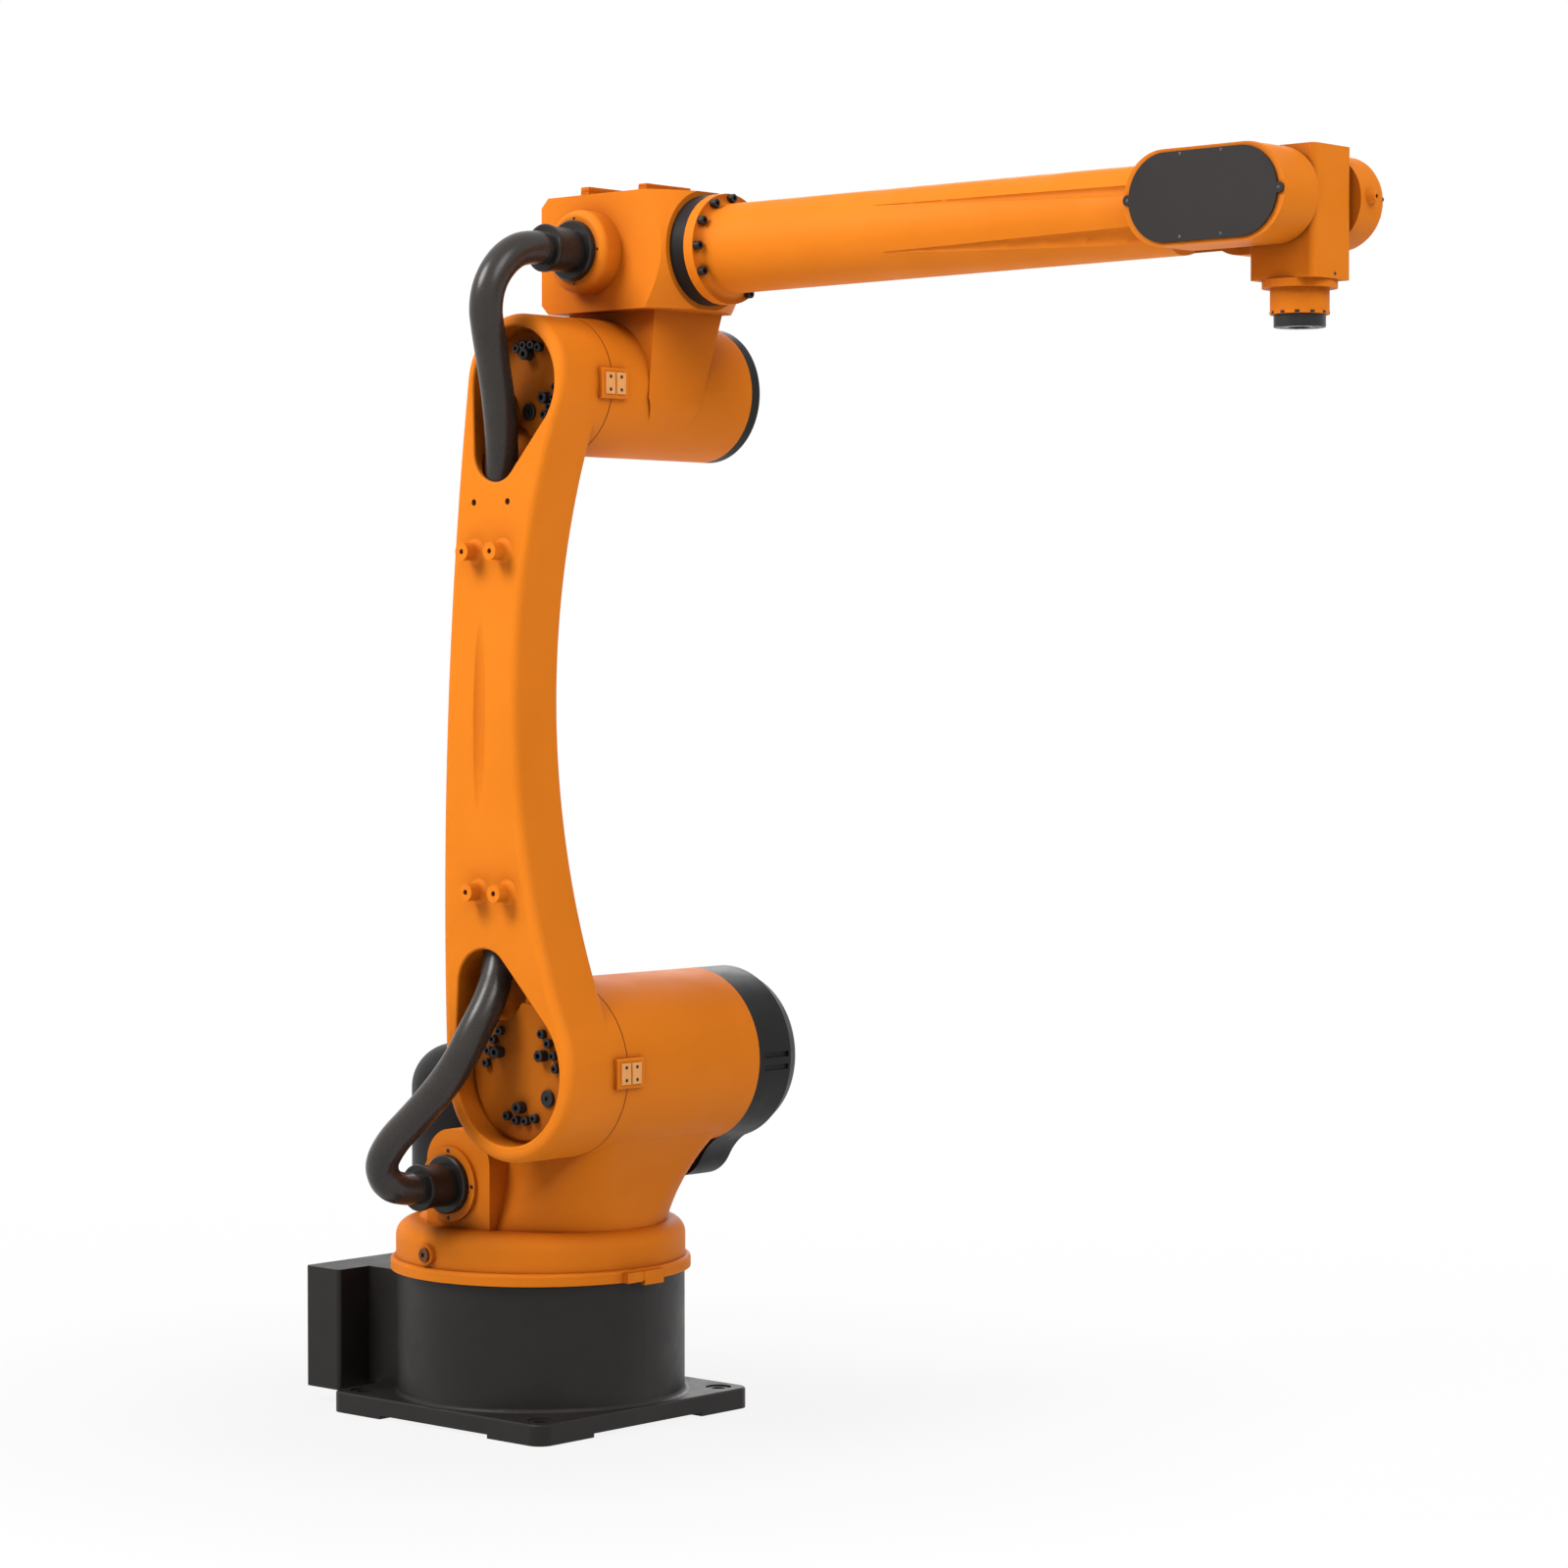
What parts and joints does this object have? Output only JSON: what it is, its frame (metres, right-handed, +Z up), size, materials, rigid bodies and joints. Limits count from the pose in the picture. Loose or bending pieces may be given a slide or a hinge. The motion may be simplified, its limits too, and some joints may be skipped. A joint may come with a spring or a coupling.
{
  "type": "industrial robot arm",
  "caption": "Six-axis industrial robot arm on a bolted foot plate: turntable, hollow lower arm, elbow, long tubular forearm and forked wrist with a tool flange.",
  "frame": {"origin": "on the first axis, on the underside of the foot plate", "axes": "+Z up along the first axis, +X forward along the forearm at rest, +Y to the robot's left"},
  "size_m": [1.5659, 0.5013, 1.586],
  "materials": {
    "orange_paint": "satin paint",
    "dark_paint": "satin paint",
    "black_cover": "satin moulding",
    "black_oxide": "black oxide",
    "hose_rubber": "smooth gloss"
  },
  "bodies": {
    "base": {"base_casting": "dark_paint", "connector_box": "dark_paint", "connector_panel": "dark_paint", "connector_hoods": "black_cover"},
    "turntable": {"turntable_casting": "orange_paint", "turn_motor_cover": "black_cover", "shoulder_motor_cover": "black_cover", "hose_outlet_plate": "orange_paint", "lower_hose_gland": "black_cover", "shoulder_zero_mark_fixed": "orange_paint", "lower_hose": "hose_rubber"},
    "lower_arm": {"lower_arm_casting": "orange_paint", "shoulder_reducer_face": "orange_paint", "elbow_reducer_face": "orange_paint", "shoulder_zero_mark_moving": "orange_paint", "elbow_zero_mark_fixed": "orange_paint", "arm_hose": "hose_rubber", "upper_hose": "hose_rubber"},
    "elbow": {"elbow_casting": "orange_paint", "elbow_end_cap": "black_cover", "elbow_top_cover_rear": "orange_paint", "elbow_top_cover_front": "orange_paint", "elbow_rear_cover": "orange_paint", "upper_hose_gland": "black_cover", "elbow_zero_mark_moving": "orange_paint", "forearm_seal_ring": "black_cover"},
    "forearm": {"forearm_casting": "orange_paint", "belt_cover": "black_cover", "wrist_bearing_cap": "orange_paint"},
    "wrist": {"wrist_block": "orange_paint", "wrist_neck_ring": "orange_paint", "tool_reducer": "orange_paint"},
    "tool": {"tool_flange": "black_oxide"}
  },
  "joints": [
    {"name": "turn", "type": "hinge", "parent": "base", "child": "turntable", "pos_m": [0, 0, 0.19], "axis": [0, 0, 1], "range_deg": [-170, 170]},
    {"name": "shoulder", "type": "hinge", "parent": "turntable", "child": "lower_arm", "pos_m": [0.165, 0, 0.47], "axis": [0, 1, 0], "range_deg": [-60, 85], "deforming": ["lower_hose"]},
    {"name": "elbow", "type": "hinge", "parent": "lower_arm", "child": "elbow", "pos_m": [0.165, 0, 1.33], "axis": [0, -1, 0], "range_deg": [-75, 85], "deforming": ["upper_hose"]},
    {"name": "forearm_roll", "type": "hinge", "parent": "elbow", "child": "forearm", "pos_m": [0.3233, 0, 1.5], "axis": [1, 0, 0], "range_deg": [-180, 180]},
    {"name": "wrist_bend", "type": "hinge", "parent": "forearm", "child": "wrist", "pos_m": [1.203, 0, 1.5], "axis": [0, -1, 0], "range_deg": [-35, 215]},
    {"name": "tool_turn", "type": "hinge", "parent": "wrist", "child": "tool", "pos_m": [1.203, 0, 1.36], "axis": [0, 0, -1], "range_deg": [-360, 360]}
  ]
}
